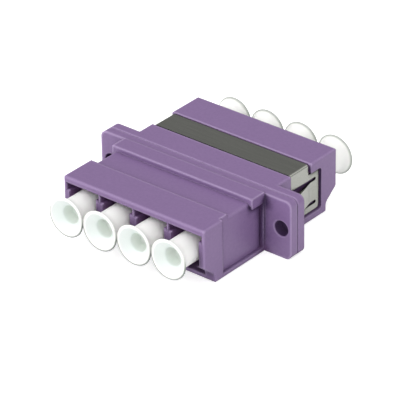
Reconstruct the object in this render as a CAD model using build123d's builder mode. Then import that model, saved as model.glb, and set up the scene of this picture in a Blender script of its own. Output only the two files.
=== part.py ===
from build123d import *

import os
from math import cos, radians, sin

# Four-port LC fibre adapter: two welded housing halves, a folded steel spring clip,
# four split alignment sleeves and eight dust caps.
# X runs across the ports, Y along the plugs with the near end at -Y, and Z is up.
# The origin is at the middle of the bottom face, on the plane where the halves meet.
# Lengths are in millimetres, and a reach is a distance from that plane.

os.makedirs("parts", exist_ok=True)

# Body
body_width = 25.7
body_length = 30.0
body_height = 9.3
edge_round = 0.25

# Flange, half of its thickness on each housing
flange_width = 35.0
flange_plate = 1.5
flange_corner = 1.0
seam_bevel = 0.12
screw_place = 0.756
screw_hole_d = 2.3
screw_hole_height = 4.65
screw_hole_bevel = 0.15

# Finger scoop under each end
scoop_depth = 2.35
scoop_foot = 1.41
scoop_sill = 0.3
scoop_lip_round = 0.4
scoop_root_round = 1.0

# Ports
port_count = 4
port_pitch = 6.25
port_axis_drop = 4.0
port_size = 4.7
port_corner = 0.6
mouth_bevel = 0.18
crown_width = 5.77
crown_height = 1.0
crown_rise = 0.6
crown_depth = 3.5
floor_wall = 0.65
latch_width = 3.3
latch_depth = 6.4
catch_length = 3.1
web = 1.2

# Barrels and the split sleeves inside them
ferrule_d = 1.25
sleeve_wall = 0.175
sleeve_length = 6.8
sleeve_slit = 0.35
sleeve_side_gap = 0.06
sleeve_end_gap = 0.1
barrel_d = 3.0
barrel_lip = 1.3
barrel_mouth_d = 1.5
barrel_lead_d = 2.0
barrel_bevel = 0.3

# Neck, side panel and ridge of the front housing
neck_reach = 9.2
neck_drop = 0.53
neck_inset = 0.55
neck_round = 0.4
panel_reach = 10.9
ledge_height = 0.7
ridge_reach = 4.4
ridge_rise = 0.25
ridge_skirt = 1.6
ridge_round = 0.2
rib_width = 0.37
slot_width = 0.2
slot_depth = 0.4
hook_skin = 0.25

# Spring clip on the rear housing
clip_sheet = 0.35
clip_bend = 0.45
clip_drop = 0.05
clip_side_drop = 0.3
clip_gap = 0.25
clip_front_reach = 4.65
clip_strip_width = 4.15
clip_plate_width = 6.55
clip_plate_top = 7.55
clip_plate_bottom = 1.35
clip_corner = 0.5
tongue_root_reach = 10.25
tongue_tip_reach = 3.6
tongue_bottom = 2.85
tongue_height = 3.25
tongue_angle = 15.2
tongue_lead = 0.6
tongue_bend = 3.0
tongue_slit = 0.5

# Dust caps
cap_rim_d = 6.2
cap_rim_edge = 0.15
cap_rim_land = 0.4
cap_protrusion = 3.65
cap_flare_length = 1.6
cap_port_gap = 0.15
cap_dish_depth = 1.05
cap_hole_d = 2.84
cap_hole_depth = 2.0
cap_floor = 0.8
cap_grip_length = 8.0
cap_tube_d = 4.1
cap_barrel_gap = 0.05
cap_end_gap = 1.4
rear_cap_draw = 0.7

# Sizes that follow from these
clear_width = 2 * body_width
half_width = body_width / 2
end_reach = body_length / 2
ear_margin = screw_hole_d / 2 + screw_hole_bevel
ear_slack = (flange_width - body_width) / 2 - 2 * ear_margin
screw_spacing = body_width + 2 * (ear_margin + screw_place * ear_slack)
port_axis_height = body_height - port_axis_drop
port_bottom = port_axis_height - port_size / 2
scoop_top = port_bottom + scoop_sill
port_top = port_axis_height + port_size / 2
port_xs = [(i - (port_count - 1) / 2) * port_pitch for i in range(port_count)]
sleeve_d = ferrule_d + 2 * sleeve_wall
barrel_bore_d = sleeve_d + 2 * sleeve_side_gap
sleeve_seat = sleeve_length / 2 + sleeve_end_gap
barrel_reach = sleeve_seat + barrel_lip
neck_top = body_height - neck_drop
panel_x = half_width - neck_inset
ridge_top = body_height + ridge_rise
skirt_bottom = ridge_top - ridge_skirt
rib_reach = flange_plate + rib_width
slot_reach = rib_reach + slot_width
clip_top = body_height - clip_drop
clip_side = half_width - clip_side_drop
clip_strip_reach = clip_front_reach + clip_strip_width
clip_plate_reach = clip_front_reach + clip_plate_width

tolerance = 0.01


# The plane that faces the near end, at a given distance in front of the mid-plane
def facing(reach):
    return Plane.XZ.offset(reach)


# Those of some faces or edges that lie at one position along an axis
def lying_at(shapes, axis, position):
    return shapes.filter_by_position(axis, position - tolerance, position + tolerance)


# What both halves share, drawn as the near half: the ported block, its half of the flange,
# the port cavities and the barrels that hold the sleeves
with BuildPart() as port_half:
    with BuildSketch(Plane.YZ) as side_view:
        root_y = scoop_depth - end_reach
        with BuildLine():
            Polyline(
                (0, 0),
                (root_y, 0),
                (root_y, scoop_foot),
                (-end_reach, scoop_top),
                (-end_reach, body_height),
                (0, body_height),
                close=True,
            )
        make_face()
        scoop_lip = side_view.vertices().sort_by_distance((-end_reach, scoop_top))[0]
        fillet(scoop_lip, scoop_lip_round)
        scoop_root = side_view.vertices().sort_by_distance((root_y, scoop_foot))[0]
        fillet(scoop_root, scoop_root_round)
    extrude(amount=half_width, both=True)
    long_edges = port_half.edges().filter_by(Axis.Y)
    fillet(long_edges, edge_round)
    end_edges = port_half.faces().sort_by(Axis.Y)[0].outer_wire().edges()
    fillet(end_edges.sort_by(Axis.Z)[1:], edge_round)

    with BuildSketch(facing(0)):
        with Locations((0, body_height / 2)):
            RectangleRounded(flange_width, body_height, flange_corner)
    extrude(amount=flange_plate)
    seam_face = port_half.faces().filter_by(Axis.Y).sort_by(Axis.Y)[-1]
    chamfer(seam_face.outer_wire().edges(), seam_bevel)

    # Port mouths: a square hole with a wider, shallow crown across its top
    with BuildSketch(facing(end_reach)):
        for x in port_xs:
            with Locations((x, port_axis_height)):
                RectangleRounded(port_size, port_size, port_corner)
            with Locations((x, port_axis_height + port_size / 4)):
                Rectangle(port_size, port_size / 2)
    extrude(amount=web - end_reach, mode=Mode.SUBTRACT)
    with BuildSketch(facing(end_reach)):
        for x in port_xs:
            with Locations((x, port_top + crown_rise - crown_height / 2)):
                Rectangle(crown_width, crown_height)
    extrude(amount=-crown_depth, mode=Mode.SUBTRACT)

    # Latch channel below each port, with a wider pocket where the latch catches
    with BuildSketch(facing(end_reach)):
        for x in port_xs:
            with Locations((x, (floor_wall + port_axis_height) / 2)):
                Rectangle(latch_width, port_axis_height - floor_wall)
    extrude(amount=-latch_depth, mode=Mode.SUBTRACT)
    with BuildSketch(facing(end_reach - latch_depth)):
        for x in port_xs:
            with Locations((x, (floor_wall + port_axis_height) / 2)):
                Rectangle(port_size, port_axis_height - floor_wall)
    extrude(amount=-catch_length, mode=Mode.SUBTRACT)

    # Lead-in bevel round the port mouths, on the flat end face above the scoop
    mouth_edges = lying_at(port_half.edges(), Axis.Y, -end_reach).filter_by(
        lambda edge: scoop_top + scoop_lip_round < edge.center().Z < port_top + crown_rise + tolerance
        and abs(edge.center().X) < half_width - 2 * edge_round
    )
    chamfer(mouth_edges, mouth_bevel)

    # Barrels, bored from the mid-plane for the sleeves
    with BuildSketch(facing(0)):
        with Locations(*[(x, port_axis_height) for x in port_xs]):
            Circle(barrel_d / 2)
    extrude(amount=barrel_reach)
    with BuildSketch(facing(0)):
        with Locations(*[(x, port_axis_height) for x in port_xs]):
            Circle(barrel_bore_d / 2)
    extrude(amount=sleeve_seat, mode=Mode.SUBTRACT)
    barrel_ends = lying_at(port_half.faces(), Axis.Y, -barrel_reach)
    chamfer(barrel_ends.edges(), barrel_bevel)
    mouth_middle = (sleeve_seat + barrel_reach) / 2
    with Locations(*[Location((x, -mouth_middle, port_axis_height), (90, 0, 0)) for x in port_xs]):
        Cone(barrel_mouth_d / 2, barrel_lead_d / 2, barrel_lip, mode=Mode.SUBTRACT)

    # Screw holes in the ears
    with BuildSketch(facing(0)):
        with Locations((0, screw_hole_height)):
            with GridLocations(screw_spacing, 1, 2, 1):
                Circle(screw_hole_d / 2)
    extrude(amount=flange_plate, mode=Mode.SUBTRACT)
    ear_faces = lying_at(port_half.faces().filter_by(Axis.Y), Axis.Y, -flange_plate)
    hole_rims = ear_faces.edges().filter_by(GeomType.CIRCLE).filter_by(
        lambda rim: abs(rim.radius - screw_hole_d / 2) < tolerance
    )
    chamfer(hole_rims, screw_hole_bevel)

# Near half: a lower, narrower neck between the port block and the ridge, a panel sunk into each
# side, and a ridge across the front of the flange whose skirts hang over the ends of the panels
with BuildPart() as front_housing:
    add(port_half.part)
    neck_middle = -(neck_reach + ridge_reach) / 2
    neck_length = neck_reach - ridge_reach
    with Locations((0, neck_middle, body_height)):
        Box(clear_width, neck_length, 2 * neck_drop, mode=Mode.SUBTRACT)
    for side, reach in ((1, panel_reach), (-1, neck_reach)):
        recess_middle = (side * (clear_width + panel_x) / 2, -(reach + slot_reach) / 2)
        with Locations((*recess_middle, ledge_height + clear_width / 2)):
            Box(clear_width - panel_x, reach - slot_reach, clear_width, mode=Mode.SUBTRACT)
    neck_edges = lying_at(front_housing.edges().filter_by(Axis.Y), Axis.Z, neck_top)
    fillet(neck_edges, neck_round)

    ridge_middle = -(ridge_reach + flange_plate) / 2
    with BuildSketch(Plane.YZ) as ridge_section:
        with Locations((ridge_middle, (ridge_top + neck_top) / 2)):
            Rectangle(ridge_reach - flange_plate, ridge_top - neck_top)
        upper_corners = ridge_section.vertices().group_by(Axis.Z)[-1].sort_by(Axis.Y)
        fillet(upper_corners[0], ridge_round)
    extrude(amount=half_width - edge_round, both=True)
    for side in (1, -1):
        with BuildSketch(Plane.YZ.offset(side * half_width)) as skirt_section:
            with Locations((ridge_middle, (ridge_top + skirt_bottom) / 2)):
                Rectangle(ridge_reach - flange_plate, ridge_skirt)
            lower_front = skirt_section.vertices().sort_by_distance((-ridge_reach, ridge_top))[0]
            fillet(lower_front, ridge_round)
        extrude(amount=-side * neck_inset)
        slot_middle_y = -(slot_reach + rib_reach) / 2
        slot_middle_z = (ledge_height + skirt_bottom) / 2
        slot_cut_depth = neck_inset + slot_depth
        with Locations((side * (half_width - slot_cut_depth / 2), slot_middle_y, slot_middle_z)):
            Box(slot_cut_depth, slot_width, skirt_bottom - ledge_height, mode=Mode.SUBTRACT)
        hook_gap = neck_inset - hook_skin
        hook_middle_y = -(ridge_reach + slot_reach) / 2
        hook_middle_z = (skirt_bottom + neck_top - neck_round) / 2
        with Locations((side * (panel_x + hook_gap / 2), hook_middle_y, hook_middle_z)):
            Box(
                hook_gap,
                ridge_reach - slot_reach,
                neck_top - neck_round - skirt_bottom,
                mode=Mode.SUBTRACT,
            )
front_housing.part.label = "front_housing"
export_step(front_housing.part, "parts/front_housing.step")

# Far half: the same ported block turned round, with a seat for the clip sunk into its top and sides
with BuildPart() as rear_housing:
    mirror(port_half.part, about=Plane.XZ)
    seat_front = clip_front_reach - clip_gap
    strip_end = clip_strip_reach + clip_gap
    plate_end = clip_plate_reach + clip_gap
    with BuildSketch(Plane.XZ.offset(-seat_front)) as strip_seat:
        seat_top = clip_top - clip_sheet
        seat_side = clip_side - clip_sheet
        with Locations((0, body_height / 2)):
            Rectangle(clear_width, 2 * body_height)
        with BuildSketch(mode=Mode.PRIVATE) as core:
            with Locations((0, seat_top / 2)):
                Rectangle(2 * seat_side, seat_top)
            fillet(core.vertices().group_by(Axis.Y)[-1], clip_bend - clip_sheet)
        add(core.sketch, mode=Mode.SUBTRACT)
        with Locations((0, clip_plate_top / 2 - body_height)):
            Rectangle(clear_width, clip_plate_top + 2 * body_height, mode=Mode.SUBTRACT)
    extrude(amount=seat_front - strip_end, mode=Mode.SUBTRACT)
    for side in (1, -1):
        with BuildSketch(Plane.YZ.offset(side * half_width)):
            with Locations(((seat_front + plate_end) / 2, (clip_plate_top + clip_plate_bottom) / 2)):
                RectangleRounded(
                    plate_end - seat_front,
                    clip_plate_top - clip_plate_bottom + 2 * clip_gap,
                    clip_corner,
                )
        extrude(amount=side * (seat_side - half_width), mode=Mode.SUBTRACT)
rear_housing.part.label = "rear_housing"
export_step(rear_housing.part, "parts/rear_housing.step")

# Spring clip: a strip folded down over both sides, where it widens into a plate with one tongue
with BuildPart() as spring_clip:
    with BuildSketch(Plane.XZ.offset(-clip_front_reach)) as fold:
        with Locations((0, (clip_top + clip_plate_bottom) / 2)):
            Rectangle(2 * clip_side, clip_top - clip_plate_bottom)
        fillet(fold.vertices().group_by(Axis.Y)[-1], clip_bend)
        with BuildSketch(mode=Mode.PRIVATE) as hollow:
            with Locations((0, (clip_top - clip_sheet) / 2)):
                Rectangle(2 * (clip_side - clip_sheet), clip_top - clip_sheet)
            fillet(hollow.vertices().group_by(Axis.Y)[-1], clip_bend - clip_sheet)
        add(hollow.sketch, mode=Mode.SUBTRACT)
    extrude(amount=-clip_plate_width)
    with Locations((0, clip_plate_reach, body_height)):
        Box(
            clear_width,
            2 * (clip_plate_reach - clip_strip_reach),
            2 * (body_height - clip_plate_top),
            mode=Mode.SUBTRACT,
        )
    plate_corners = spring_clip.edges().filter_by(Axis.X).group_by(Axis.Z)[0]
    fillet(plate_corners, clip_corner)
    tongue_top = tongue_bottom + tongue_height
    slit_length = tongue_root_reach - clip_front_reach
    for side in (1, -1):
        with BuildSketch(Plane.YZ.offset(side * clip_side)):
            tongue_middle = (clip_front_reach + slit_length / 2, tongue_bottom + tongue_height / 2)
            with Locations(tongue_middle):
                Rectangle(slit_length, tongue_height)
            for z in (tongue_bottom - tongue_slit / 2, tongue_top + tongue_slit / 2):
                with Locations((clip_front_reach, z)):
                    SlotCenterToCenter(2 * slit_length, tongue_slit)
        extrude(amount=-2 * side * clip_sheet, mode=Mode.SUBTRACT)
        with BuildSketch(Plane.XY.offset(tongue_bottom)):
            with BuildLine(mode=Mode.PRIVATE) as tongue_line:
                tongue_x = side * (clip_side - clip_sheet / 2)
                bend_start = tongue_root_reach - tongue_lead
                lead = Line((tongue_x, tongue_root_reach), (tongue_x, bend_start))
                turn = JernArc(lead @ 1, (0, -1), tongue_bend, side * tongue_angle)
                bend_end = bend_start - tongue_bend * sin(radians(tongue_angle))
                run = (bend_end - tongue_tip_reach) / cos(radians(tongue_angle))
                Line(turn @ 1, turn @ 1 + (turn % 1) * run)
            trace(tongue_line.line, clip_sheet)
        extrude(amount=tongue_height)
spring_clip.part.label = "spring_clip"
export_step(spring_clip.part, "parts/spring_clip.step")

# Split sleeve, a ceramic tube slit along its length, one on each axis
with BuildPart() as sleeve:
    with BuildSketch(Plane.XZ):
        Circle(sleeve_d / 2)
        Circle(ferrule_d / 2, mode=Mode.SUBTRACT)
        with Locations((0, sleeve_d / 2)):
            Rectangle(sleeve_slit, sleeve_d, mode=Mode.SUBTRACT)
    extrude(amount=sleeve_length / 2, both=True)
for number, x in enumerate(port_xs, start=1):
    with BuildPart() as placed_sleeve:
        with Locations((x, 0, port_axis_height)):
            add(sleeve.part)
    placed_sleeve.part.label = f"alignment_sleeve_{number}"
    export_step(placed_sleeve.part, f"parts/alignment_sleeve_{number}.step")

# Dust cap, turned about Y: a flared dish with a blind hole outside the port, and a tube inside it
# that slips over the barrel
rim_reach = end_reach + cap_protrusion
with BuildPart() as cap:
    with BuildSketch(Plane.XY):
        stem_r = port_size / 2 - cap_port_gap
        rim_r = cap_rim_d / 2
        flare_start = -rim_reach + cap_rim_edge + cap_flare_length
        hole_floor = -rim_reach + cap_dish_depth + cap_hole_depth
        tube_end = -web - cap_end_gap
        grip_end = flare_start + cap_grip_length
        bore_r = barrel_d / 2 + cap_barrel_gap
        with BuildLine():
            dish = Polyline(
                (0, hole_floor),
                (cap_hole_d / 2, hole_floor),
                (cap_hole_d / 2, -rim_reach + cap_dish_depth),
                (rim_r - cap_rim_land, -rim_reach),
                (rim_r, -rim_reach),
                (rim_r, -rim_reach + cap_rim_edge),
            )
            flare = TangentArc((stem_r, flare_start), dish @ 1, tangent=(0, -1))
            Polyline(
                flare @ 0,
                (stem_r, grip_end),
                (cap_tube_d / 2, grip_end + stem_r - cap_tube_d / 2),
                (cap_tube_d / 2, tube_end),
                (bore_r, tube_end),
                (bore_r, hole_floor + cap_floor),
                (0, hole_floor + cap_floor),
                (0, hole_floor),
            )
        make_face()
    revolve(axis=Axis.Y)
for end, draw, turn_angle in (("front", 0, 0), ("rear", rear_cap_draw, 180)):
    for number, x in enumerate(port_xs, start=1):
        with BuildPart() as placed_cap:
            with Locations(Location((x, draw, port_axis_height), (0, 0, turn_angle))):
                add(cap.part)
        placed_cap.part.label = f"dust_cap_{end}_{number}"
        export_step(placed_cap.part, f"parts/dust_cap_{end}_{number}.step")
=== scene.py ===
# %% [markdown]
# # A four-port LC fibre adapter
# This lesson dresses a finished CAD model of a small plastic adapter: a violet body in two halves,
# a folded steel spring clip, and eight soft white dust caps. The CAD gives every size and place.
# Here the pieces get their surfaces, and the caps are turned again with finer curves.

# %% Load the frame
from math import asin, cos, degrees, radians, sin

import bmesh
import bpy
from mathutils import Matrix, Vector


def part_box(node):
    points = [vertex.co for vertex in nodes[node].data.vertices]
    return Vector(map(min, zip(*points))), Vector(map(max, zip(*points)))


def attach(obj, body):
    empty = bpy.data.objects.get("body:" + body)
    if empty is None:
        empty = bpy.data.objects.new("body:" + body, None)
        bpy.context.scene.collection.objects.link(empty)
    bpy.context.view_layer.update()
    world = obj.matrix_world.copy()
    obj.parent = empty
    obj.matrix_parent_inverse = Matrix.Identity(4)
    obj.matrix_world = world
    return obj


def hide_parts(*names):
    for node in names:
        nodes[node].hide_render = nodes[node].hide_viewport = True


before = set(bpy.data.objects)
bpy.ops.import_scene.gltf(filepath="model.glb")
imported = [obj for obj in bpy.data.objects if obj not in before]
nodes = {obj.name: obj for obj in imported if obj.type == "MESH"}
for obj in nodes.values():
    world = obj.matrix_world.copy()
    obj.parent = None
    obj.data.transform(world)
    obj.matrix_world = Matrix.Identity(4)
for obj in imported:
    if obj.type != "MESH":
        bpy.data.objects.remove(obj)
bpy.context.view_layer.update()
print("nodes:", sorted(nodes))

# %% [markdown]
# ## The camera
# The photograph was taken from far away with a long lens, so parallel edges stay almost parallel.
# The view is 40 degrees round from the near end and 30 degrees up. A camera that is set from its
# own three axes holds these angles, a small roll and the point it looks at, with no guesswork.

# %% Camera
mm = 0.001
azimuth, elevation, roll = radians(39.856), radians(29.95), radians(-0.937)
distance = 482.46 * mm
aim = Vector((-0.985, 0.853, 2.29)) * mm

back = Vector((sin(azimuth) * cos(elevation), -cos(azimuth) * cos(elevation), sin(elevation)))
level_right = Vector((cos(azimuth), sin(azimuth), 0))
level_up = back.cross(level_right)
right = cos(roll) * level_right + sin(roll) * level_up
up = cos(roll) * level_up - sin(roll) * level_right

camera_data = bpy.data.cameras.new("camera")
camera_data.sensor_width = 36
camera_data.lens = 302.0
camera_data.clip_start = 10 * mm
camera = bpy.data.objects.new("camera", camera_data)
turned = Matrix((right, up, back)).transposed().to_4x4()
camera.matrix_world = Matrix.Translation(aim + distance * back) @ turned
bpy.context.scene.collection.objects.link(camera)
bpy.context.scene.camera = camera
print("camera at", [round(x, 4) for x in camera.matrix_world.translation])

# %% [markdown]
# ## Helpers for nodes
# A surface is a tree of small nodes, and the same few steps come back in each: a calculation with
# one or two values, a range that is stretched to another range, and a socket that takes either a
# number or the output of another node. Each step is a short function here.


# %% Helpers for nodes
def new_material(name):
    material = bpy.data.materials.new(name)
    material.use_nodes = True
    shader = material.node_tree.nodes["Principled BSDF"]
    return material, material.node_tree, shader


def feed(tree, value, socket):
    if isinstance(value, bpy.types.NodeSocket):
        tree.links.new(value, socket)
    elif value is not None:
        socket.default_value = value


def number_math(tree, operation, first, second):
    node = tree.nodes.new("ShaderNodeMath")
    node.operation = operation
    feed(tree, first, node.inputs[0])
    feed(tree, second, node.inputs[1])
    return node.outputs["Value"]


def vector_math(tree, operation, first, second=None):
    node = tree.nodes.new("ShaderNodeVectorMath")
    node.operation = operation
    feed(tree, first, node.inputs[0])
    feed(tree, second, node.inputs[1])
    return node.outputs["Value" if operation in ("DOT_PRODUCT", "DISTANCE") else "Vector"]


def map_range(tree, value, smooth=False, **limits):
    node = tree.nodes.new("ShaderNodeMapRange")
    node.interpolation_type = "SMOOTHSTEP" if smooth else "LINEAR"
    feed(tree, value, node.inputs["Value"])
    for label, limit in limits.items():
        feed(tree, limit, node.inputs[label.replace("_", " ")])
    return node.outputs["Result"]


print("helpers:", [step.__name__ for step in (new_material, feed, number_math, vector_math, map_range)])

# %% [markdown]
# ## Floor and light
# The photograph has a pure white ground. A pale floor that also glows a little, but only to the
# camera and to reflections, turns white without lighting the object, and it still takes the soft
# shadow. The studio is a bright room. The wall in front of the adapter is the brightest, so the
# faces with the ports and the edges towards them stand out, and the ceiling lifts the top a
# little. The steel needs something dark to reflect, or it looks like white paint, so the far wall
# is grey. One large lamp from the front gives the shadow, and a faint one stands behind.

# %% Floor
floor_grey, floor_glow, under_the_feet = 0.82, 0.6, 0.02 * mm
floor_material, floor_tree, floor_shader = new_material("white_ground")
floor_shader.inputs["Base Color"].default_value = (floor_grey, floor_grey, floor_grey, 1)
floor_shader.inputs["Roughness"].default_value = 0.8
floor_shader.inputs["Specular IOR Level"].default_value = 0.1
floor_shader.inputs["Emission Color"].default_value = (1, 1, 1, 1)
light_path = floor_tree.nodes.new("ShaderNodeLightPath")
seen = light_path.outputs["Is Camera Ray"]
for ray in ("Is Glossy Ray", "Is Transmission Ray"):
    seen = number_math(floor_tree, "MAXIMUM", seen, light_path.outputs[ray])
glow = number_math(floor_tree, "MULTIPLY", seen, floor_glow)
floor_tree.links.new(glow, floor_shader.inputs["Emission Strength"])

floor_mesh = bpy.data.meshes.new("floor")
floor_bmesh = bmesh.new()
bmesh.ops.create_grid(floor_bmesh, x_segments=1, y_segments=1, size=3)
bmesh.ops.translate(floor_bmesh, verts=floor_bmesh.verts, vec=(0, 0, -under_the_feet))
floor_bmesh.to_mesh(floor_mesh)
floor_bmesh.free()
floor = bpy.data.objects.new("floor", floor_mesh)
floor.data.materials.append(floor_material)
bpy.context.scene.collection.objects.link(floor)
print("floor", floor.dimensions[:])

# %% [markdown]
# A wall is a direction. How well a ray agrees with it is a dot product, and between two limits of
# that agreement the strength goes over from the room's to the wall's. The front wall sets both,
# and the far wall and the ceiling multiply what it gives.

# %% World
world = bpy.data.worlds.new("studio")
bpy.context.scene.world = world
world.use_nodes = True
world_tree = world.node_tree
sky = world_tree.nodes["Background"]
sky.inputs["Color"].default_value = (1, 1, 1, 1)
front_wall = Vector((-0.45, -0.88, 0.15)).normalized()
far_wall = Vector((-sin(azimuth) * cos(elevation), cos(azimuth) * cos(elevation), sin(elevation)))
ceiling = Vector((0, 0, 1))
direction = world_tree.nodes.new("ShaderNodeTexCoord").outputs["Generated"]


def wall_shade(towards, start, end, away, full):
    agree = vector_math(world_tree, "DOT_PRODUCT", direction, towards)
    return map_range(
        world_tree, agree, smooth=True, From_Min=start, From_Max=end, To_Min=away, To_Max=full
    )


shades = wall_shade(front_wall, start=0.1, end=0.9, away=0.92, full=1.88)
for shade in (
    wall_shade(far_wall, start=0.72, end=0.94, away=1.0, full=0.4),
    wall_shade(ceiling, start=0.4, end=1.0, away=1.0, full=1.04),
):
    shades = number_math(world_tree, "MULTIPLY", shades, shade)
world_tree.links.new(shades, sky.inputs["Strength"])
print("far wall towards", [round(x, 2) for x in far_wall])


# %% Lamps
def soft_lamp(name, place, power, size):
    data = bpy.data.lights.new(name, "AREA")
    data.energy = power
    data.size = size
    lamp = bpy.data.objects.new(name, data)
    facing = Vector(place).to_track_quat("Z", "Y").to_matrix().to_4x4()
    lamp.matrix_world = Matrix.Translation(Vector(place)) @ facing
    bpy.context.scene.collection.objects.link(lamp)


soft_lamp("key", place=(-0.25, -0.35, 0.7), power=0.35, size=0.5)
soft_lamp("rim", place=(0.25, 0.4, 0.36), power=0.06, size=0.14)

# %% [markdown]
# ## Violet plastic
# The body is moulded in a satin violet. The mould is lightly spark-eroded, so the faces have a
# fine, even grain. The rounded edges that face the light get a painted highlight, and the hollows
# get painted shade. The grain is one node group, and the painted highlight and shade are another,
# because the other materials use them too, with other values.


# %% Node group for the grain
def new_group(name, numbers, outputs):
    group = bpy.data.node_groups.new(name, "ShaderNodeTree")
    for label, value in numbers.items():
        socket = group.interface.new_socket(label, in_out="INPUT", socket_type="NodeSocketFloat")
        socket.default_value = value
    for label, kind in outputs.items():
        group.interface.new_socket(label, in_out="OUTPUT", socket_type=kind)
    return group, group.nodes.new("NodeGroupInput"), group.nodes.new("NodeGroupOutput")


grain_group, grain_in, grain_out = new_group(
    "moulded_skin",
    {"Size": 4000.0, "Depth": 0.1, "Rounding": 0.15 * mm},
    {"Mottle": "NodeSocketFloat", "Normal": "NodeSocketVector"},
)
place = grain_group.nodes.new("ShaderNodeTexCoord")
noise = grain_group.nodes.new("ShaderNodeTexNoise")
noise.inputs["Detail"].default_value = 4
soft_edge = grain_group.nodes.new("ShaderNodeBevel")
soft_edge.samples = 6
bump = grain_group.nodes.new("ShaderNodeBump")
bump.inputs["Distance"].default_value = 0.02 * mm
grain_group.links.new(place.outputs["Object"], noise.inputs["Vector"])
grain_group.links.new(grain_in.outputs["Size"], noise.inputs["Scale"])
grain_group.links.new(grain_in.outputs["Rounding"], soft_edge.inputs["Radius"])
grain_group.links.new(soft_edge.outputs["Normal"], bump.inputs["Normal"])
grain_group.links.new(noise.outputs["Fac"], bump.inputs["Height"])
grain_group.links.new(grain_in.outputs["Depth"], bump.inputs["Strength"])
grain_group.links.new(noise.outputs["Fac"], grain_out.inputs["Mottle"])
grain_group.links.new(bump.outputs["Normal"], grain_out.inputs["Normal"])
print("group", grain_group.name, "with", len(grain_group.nodes), "nodes")

# %% [markdown]
# An edge is where rays that start under the surface soon come out again, and a hollow is where
# rays that leave it soon meet a wall. Ambient occlusion measures both: looking inwards for the
# edges, and outwards for the hollows, a little way for the creases and further for deep holes.
# These masks paint light and shade into the colours: the creases and holes take painted shade,
# and on the violet the edges take a painted highlight. The rays for the creases lean upwards,
# because the light that a crease lacks comes from above. The creases fade on faces that look up,
# where light falls straight in, and only edges that look forwards or up are marked, because they
# face the light and the others lie behind a step. Both read the rounded normal, so they change
# softly round an edge. All of this depends only on the shape, so it looks right from any side.

# %% Node group for edges, creases and holes
painted_light_group, painted_light_in, painted_light_out = new_group(
    "edges_and_hollows",
    {"Edge Reach": 0.45 * mm, "Crease Reach": 2.6 * mm, "Hole Reach": 3.0 * mm},
    {"Edges": "NodeSocketFloat", "Creases": "NodeSocketFloat", "Holes": "NodeSocketFloat"},
)
upwards, forwards_and_up = (0, 0, 1), (0, -0.9, 0.45)
round_edge = painted_light_group.nodes.new("ShaderNodeBevel")
round_edge.samples = 6
painted_light_group.links.new(painted_light_in.outputs["Edge Reach"], round_edge.inputs["Radius"])
rounded_normal = round_edge.outputs["Normal"]

# Painted highlight: only edges whose rounded normal faces forwards and up, towards the light.
agree = vector_math(painted_light_group, "DOT_PRODUCT", rounded_normal, forwards_and_up)
faces_the_light = map_range(painted_light_group, agree, From_Max=0.3)

looks_up = painted_light_group.nodes.new("ShaderNodeSeparateXYZ")
painted_light_group.links.new(rounded_normal, looks_up.inputs["Vector"])
not_from_above = map_range(
    painted_light_group, looks_up.outputs["Z"], From_Min=0.15, From_Max=0.7, To_Min=1.0, To_Max=0.4
)

surface = painted_light_group.nodes.new("ShaderNodeNewGeometry")
lean_up = vector_math(painted_light_group, "ADD", surface.outputs["Normal"], upwards)
leaning = vector_math(painted_light_group, "NORMALIZE", lean_up)

# Each mask: its name, which way its rays go, how open it is where it starts and where it is full,
# and how strong it gets.
masks = (
    ("Edge", "inwards", 0.95, 0.6, faces_the_light),
    ("Crease", "outwards", 0.75, 0.54, not_from_above),
    ("Hole", "outwards", 0.5, 0.25, 1.0),
)
for label, way, start, full, most in masks:
    near = painted_light_group.nodes.new("ShaderNodeAmbientOcclusion")
    near.samples = 8
    near.inside = near.only_local = (way == "inwards")
    painted_light_group.links.new(painted_light_in.outputs[f"{label} Reach"], near.inputs["Distance"])
    if label == "Crease":
        painted_light_group.links.new(leaning, near.inputs["Normal"])
    mask = map_range(painted_light_group, near.outputs["AO"], From_Min=start, From_Max=full, To_Max=most)
    painted_light_group.links.new(mask, painted_light_out.inputs[f"{label}s"])
print("group", painted_light_group.name, "with", len(painted_light_group.nodes), "nodes")

# %% [markdown]
# A colour starts from two tones that the grain mixes, and each mask then blends in a tone of its
# own, which is painted light: painted shade in the creases and holes, and on the violet a painted
# highlight on the edges. The two screw bores get darker painted shade still: a point is in a bore
# when it lies near the axis of one of them, and the bores mirror each other, so one absolute value
# serves for both.


# %% Colours and groups in a material
def place_group(tree, group, **values):
    node = tree.nodes.new("ShaderNodeGroup")
    node.node_tree = group
    for label, value in values.items():
        node.inputs[label.replace("_", " ")].default_value = value
    return node


def blend_colours(tree, mask, first, second):
    mix = tree.nodes.new("ShaderNodeMix")
    mix.data_type = "RGBA"
    tree.links.new(mask, mix.inputs["Factor"])
    for colour, socket in ((first, mix.inputs["A"]), (second, mix.inputs["B"])):
        feed(tree, (*colour, 1) if isinstance(colour, tuple) else colour, socket)
    return mix.outputs["Result"]


# Each tone blended in by a mask is painted light: a painted highlight or painted shade.
def paint_light_into_colour(tree, mottle, low, high, light_masks, **tones):
    colour = blend_colours(tree, mottle, low, high)
    for mask, tone in tones.items():
        colour = blend_colours(tree, light_masks.outputs[mask], colour, tone)
    return colour


def dress(names, material):
    for name in names:
        nodes[name].data.materials.clear()
        nodes[name].data.materials.append(material)
    print(material.name, "on", ", ".join(names))


print("groups to place:", [group.name for group in (grain_group, painted_light_group)])

# %% Violet plastic
screw_x, screw_z, bore_reach = 15.7 * mm, 4.65 * mm, 1.2 * mm
satin, matt = 0.42, 0.95
violet, violet_tree, violet_shader = new_material("violet_plastic")
violet_skin = place_group(violet_tree, grain_group, Size=2500.0, Depth=0.12, Rounding=0.4 * mm)
violet_painted_light = place_group(violet_tree, painted_light_group, Edge_Reach=0.4 * mm)
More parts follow.
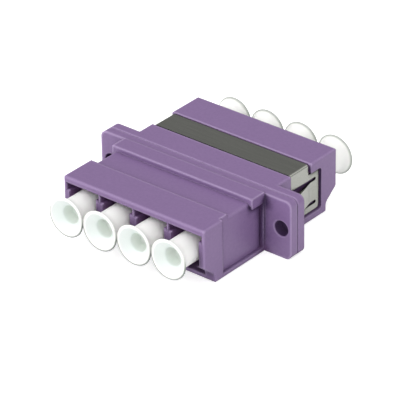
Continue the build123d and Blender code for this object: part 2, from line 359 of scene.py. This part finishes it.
# The pale edge tone is a painted highlight, and the crease and hole tones are painted shade.
violet_painted_colour = paint_light_into_colour(
    violet_tree, violet_skin.outputs["Mottle"], (0.186, 0.117, 0.248), (0.236, 0.151, 0.311),
    violet_painted_light, Edges=(0.385, 0.28, 0.478), Creases=(0.03, 0.011, 0.055), Holes=(0.14, 0.068, 0.178),
)
# The near-black tone in the screw bores is painted shade.
violet_place = violet_tree.nodes.new("ShaderNodeTexCoord")
either_ear = vector_math(violet_tree, "ABSOLUTE", violet_place.outputs["Object"])
across_bore = vector_math(violet_tree, "MULTIPLY", either_ear, (1, 0, 1))
from_bore = vector_math(violet_tree, "DISTANCE", across_bore, (screw_x, 0, screw_z))
in_bore = number_math(violet_tree, "LESS_THAN", from_bore, bore_reach)
violet_colour = blend_colours(violet_tree, in_bore, violet_painted_colour, (0.05, 0.02, 0.08))
violet_matt = map_range(violet_tree, violet_painted_light.outputs["Holes"], To_Min=satin, To_Max=matt)
violet_tree.links.new(violet_colour, violet_shader.inputs["Base Color"])
violet_tree.links.new(violet_skin.outputs["Normal"], violet_shader.inputs["Normal"])
violet_tree.links.new(violet_matt, violet_shader.inputs["Roughness"])
violet_shader.inputs["Specular IOR Level"].default_value = 0.35
dress(("front_housing", "rear_housing"), violet)

# %% [markdown]
# ## Spring steel
# The clip is folded from bright rolled strip. The rolling leaves faint lines along the strip,
# across the adapter, which stretch the reflections, so the bump is a noise drawn out along X.
# The cut edges are darker than the faces, partly for their matt cut surface and partly as painted
# shade of the narrow gap beside them, and the creases behind the tongues take painted shade.

# %% Spring steel
steel_edge = 0.12 * mm
steel, steel_tree, steel_shader = new_material("spring_steel")
steel_place = steel_tree.nodes.new("ShaderNodeTexCoord")
drawn_out = steel_tree.nodes.new("ShaderNodeMapping")
drawn_out.inputs["Scale"].default_value = (150, 6000, 6000)
lines = steel_tree.nodes.new("ShaderNodeTexNoise")
lines.inputs["Scale"].default_value = 1
lines.inputs["Detail"].default_value = 4
steel_rounding = steel_tree.nodes.new("ShaderNodeBevel")
steel_rounding.samples = 6
steel_rounding.inputs["Radius"].default_value = steel_edge
steel_bump = steel_tree.nodes.new("ShaderNodeBump")
steel_bump.inputs["Strength"].default_value = 0.08
steel_bump.inputs["Distance"].default_value = 0.01 * mm
steel_tree.links.new(steel_place.outputs["Object"], drawn_out.inputs["Vector"])
steel_tree.links.new(drawn_out.outputs["Vector"], lines.inputs["Vector"])
steel_tree.links.new(lines.outputs["Fac"], steel_bump.inputs["Height"])
steel_tree.links.new(steel_rounding.outputs["Normal"], steel_bump.inputs["Normal"])
steel_tree.links.new(steel_bump.outputs["Normal"], steel_shader.inputs["Normal"])
steel_painted_light = place_group(steel_tree, painted_light_group, Edge_Reach=steel_edge, Crease_Reach=3.0 * mm)
# The dark edge tone is partly the matt cut surface and partly painted shade; the crease tone is painted
# shade.
steel_colour = paint_light_into_colour(
    steel_tree, lines.outputs["Fac"], (0.235, 0.24, 0.219), (0.35, 0.355, 0.325),
    steel_painted_light, Edges=(0.1, 0.1, 0.095), Creases=(0.05, 0.05, 0.05),
)
steel_tree.links.new(steel_colour, steel_shader.inputs["Base Color"])
steel_shader.inputs["Metallic"].default_value = 1
steel_shader.inputs["Roughness"].default_value = 0.22
dress(("spring_clip",), steel)

# %% [markdown]
# ## White cap plastic
# The caps are soft, milky polyethylene: light goes a little way in and comes out near by, which
# keeps their hollows pale. Subsurface scattering does that, with a radius of about a millimetre.
# The points of a cap carry two values of their own: "lip" is the thin rim, which gets a painted grey
# shade against the white ground, and "inside" is the dish, which gets a painted green-grey shade,
# a little changed where the hole mask is.

# %% White cap plastic
cap_white, cap_tree, cap_shader = new_material("white_cap_plastic")
cap_skin = place_group(cap_tree, grain_group, Size=3000.0, Depth=0.05, Rounding=0.05 * mm)
cap_painted_light = place_group(cap_tree, painted_light_group)
cap_mottle, cap_hole_shade = cap_skin.outputs["Mottle"], cap_painted_light.outputs["Holes"]
cap_lip_shade = cap_tree.nodes.new("ShaderNodeAttribute")
cap_lip_shade.attribute_name = "lip"
cap_shaded_dish = cap_tree.nodes.new("ShaderNodeAttribute")
cap_shaded_dish.attribute_name = "inside"
# The dish tones and the dark lip tone are painted shade.
cap_faces = blend_colours(cap_tree, cap_mottle, (0.955, 0.962, 0.9), (0.97, 0.977, 0.918))
cap_dish_shade = blend_colours(cap_tree, cap_hole_shade, (0.77, 0.822, 0.796), (0.78, 0.818, 0.774))
cap_shapes = blend_colours(cap_tree, cap_shaded_dish.outputs["Fac"], cap_faces, cap_dish_shade)
cap_colour = blend_colours(cap_tree, cap_lip_shade.outputs["Fac"], cap_shapes, (0.1, 0.12, 0.11))
cap_tree.links.new(cap_colour, cap_shader.inputs["Base Color"])
cap_tree.links.new(cap_skin.outputs["Normal"], cap_shader.inputs["Normal"])
cap_shader.inputs["Roughness"].default_value = 0.38
cap_shader.inputs["Subsurface Weight"].default_value = 0.6
cap_shader.inputs["Subsurface Radius"].default_value = (0.93, 1.0, 0.95)
cap_shader.inputs["Subsurface Scale"].default_value = 1.0 * mm
print("material", cap_white.name)

# %% [markdown]
# ## Turned caps
# Each cap is a body of revolution about the axis of its port. The outline is drawn as a few
# points in a half plane, from the bottom of the blind hole, over the dish and the lip, along the
# flare and the stem to the end of the tube inside. The flare is one point that is spun round its
# centre, the sharp corners are rounded by a bevel on points, and a full spin turns the outline.

# %% Sizes of a cap
cap_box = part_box("dust_cap_front_1")
rim_y, tube_y = cap_box[0][1], cap_box[1][1]
rim_r = (cap_box[1][0] - cap_box[0][0]) / 2
stem_r, hole_r, tube_r, bore_r = 2.20 * mm, 1.42 * mm, 2.05 * mm, 1.55 * mm
lip_width, lip_line = 0.4 * mm, 0.2 * mm
dish_y, hole_y, bore_y = rim_y + 1.05 * mm, rim_y + 3.05 * mm, rim_y + 3.85 * mm
edge_y, flare_y, grip_y = rim_y + 0.15 * mm, rim_y + 1.75 * mm, rim_y + 9.75 * mm
flare_rise = rim_r - stem_r
flare_r = (flare_rise**2 + (flare_y - edge_y) ** 2) / (2 * flare_rise)
flare_turn = asin((flare_y - edge_y) / flare_r)
same_point = 0.002 * mm
print("flare radius", round(flare_r / mm, 3), "mm, turn", round(degrees(flare_turn), 1), "degrees")


# %% Draw and spin the outline
def outline_run(shape, points):
    verts = [shape.verts.new((r, y, 0)) for r, y in points]
    for first, second in zip(verts, verts[1:]):
        shape.edges.new((first, second))
    return verts


def spin_outline(shape):
    outline_run(shape, [
        (0, hole_y), (hole_r, hole_y), (hole_r, dish_y), (rim_r - lip_width, rim_y),
        (rim_r - lip_line, rim_y), (rim_r, rim_y), (rim_r, edge_y),
    ])
    outer = outline_run(shape, [
        (stem_r, flare_y), (stem_r, grip_y), (tube_r, grip_y + stem_r - tube_r), (tube_r, tube_y),
        (bore_r, tube_y), (bore_r, bore_y), (0, bore_y),
    ])
    bmesh.ops.spin(
        shape, geom=[outer[0]], cent=(stem_r + flare_r, flare_y, 0), axis=(0, 0, 1),
        angle=flare_turn, steps=12, use_merge=False,
    )
    bmesh.ops.remove_doubles(shape, verts=shape.verts, dist=same_point)
    rounded_corners = (
        (hole_r, dish_y, 0.16 * mm),
        (hole_r, hole_y, 0.2 * mm),
        (rim_r - lip_width, rim_y, 0.08 * mm),
        (rim_r, rim_y, 0.07 * mm),
    )
    for r, y, size in rounded_corners:
        at = [v for v in shape.verts if (v.co - Vector((r, y, 0))).length < same_point]
        bmesh.ops.bevel(
            shape, geom=at, offset=size, affect="VERTICES", segments=4, profile=0.5, material=-1,
        )
    bmesh.ops.spin(
        shape, geom=shape.verts[:] + shape.edges[:], cent=(0, 0, 0), axis=(0, 1, 0),
        angle=radians(360), steps=72, use_merge=True,
    )
    bmesh.ops.remove_doubles(shape, verts=shape.verts, dist=same_point)


print("cap outline from", round(rim_y / mm, 2), "to", round(tube_y / mm, 2), "mm")

# %% [markdown]
# The lip's value is a painted shade, and it rises across the last part of the rim. On the near
# caps it is full at the lower side and fades out towards the top, where the rim faces the light,
# and on the far caps it is even. The dish, which takes painted shade too, is every point inside the
# cone from the lip down to the hole, and the hole too.

# %% Mark the lip and the dish
lip_shade_far, lip_shade_near, lip_shade_fall = 0.7, 0.8, 1.2
dish_slack, dish_edge_r, hole_slack = 0.12 * mm, rim_r - 0.45 * mm, 0.01 * mm


def clamp(value):
    return min(max(value, 0), 1)


def mark_lip_and_dish_shade(shape, facing_rear):
    lip, inside = shape.verts.layers.float.new("lip"), shape.verts.layers.float.new("inside")
    for vert in shape.verts:
        out = Vector((vert.co.x, vert.co.z)).length
        downwards = -vert.co.z / rim_r
        # Painted shade on the lip: full on the lower side of the near caps, gone at the lit top.
        shaded = lip_shade_far if facing_rear else clamp(downwards * lip_shade_fall + lip_shade_near)
        vert[lip] = shaded * clamp((out - rim_r) / lip_line + 1.5)
        down_the_dish = clamp((vert.co.y - rim_y) / (dish_y - rim_y))
        cone_r = rim_r - lip_width + (hole_r - rim_r + lip_width) * down_the_dish
        in_cone = out < min(cone_r + dish_slack, dish_edge_r)
        vert[inside] = 1.0 if in_cone and rim_y < vert.co.y < hole_y + hole_slack else 0.0


print("the dish ends", round(dish_edge_r / mm, 2), "mm from the axis")


# %% Turn one cap
def turn_cap(name, x, z, shift, facing_rear):
    shape = bmesh.new()
    spin_outline(shape)
    mark_lip_and_dish_shade(shape, facing_rear)
    if facing_rear:
        half_turn = Matrix.Rotation(radians(180), 3, "Z")
        bmesh.ops.rotate(shape, verts=shape.verts, cent=(0, 0, 0), matrix=half_turn)
    bmesh.ops.translate(shape, verts=shape.verts, vec=(x, shift, z))
    bmesh.ops.recalc_face_normals(shape, faces=shape.faces)
    for face in shape.faces:
        face.smooth = True
    for edge in shape.edges:
        if len(edge.link_faces) == 2 and edge.calc_face_angle() > radians(35):
            edge.smooth = False
    mesh = bpy.data.meshes.new(name)
    shape.to_mesh(mesh)
    shape.free()
    piece = bpy.data.objects.new(name, mesh)
    bpy.context.scene.collection.objects.link(piece)
    mesh.materials.append(cap_white)
    return piece


# %% All eight caps
for end in ("front", "rear"):
    for number in (1, 2, 3, 4):
        node_name = f"dust_cap_{end}_{number}"
        low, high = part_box(node_name)
        middle_x, middle_z = (low[0] + high[0]) / 2, (low[2] + high[2]) / 2
        shift = low[1] - rim_y if end == "front" else high[1] + rim_y
        piece = turn_cap(f"turned_cap_{end}_{number}", middle_x, middle_z, shift, end == "rear")
        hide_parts(node_name)
        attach(piece, f"{end}_cap_{number}")
print("turned cap faces:", len(piece.data.polygons))

# %% [markdown]
# ## Ceramic
# The sleeves inside the barrels are dense white ceramic with a polished skin.

# %% Ceramic
ceramic, ceramic_tree, ceramic_shader = new_material("white_ceramic")
ceramic_skin = place_group(ceramic_tree, grain_group, Size=8000.0, Depth=0.02, Rounding=0.03 * mm)
ceramic_mottle = ceramic_skin.outputs["Mottle"]
ceramic_colour = blend_colours(ceramic_tree, ceramic_mottle, (0.82, 0.81, 0.77), (0.88, 0.87, 0.83))
ceramic_tree.links.new(ceramic_colour, ceramic_shader.inputs["Base Color"])
ceramic_tree.links.new(ceramic_skin.outputs["Normal"], ceramic_shader.inputs["Normal"])
ceramic_shader.inputs["Roughness"].default_value = 0.15
dress([name for name in sorted(nodes) if name.startswith("alignment_sleeve")], ceramic)

# %% View settings and sizes
bpy.context.scene.view_settings.view_transform = "Standard"
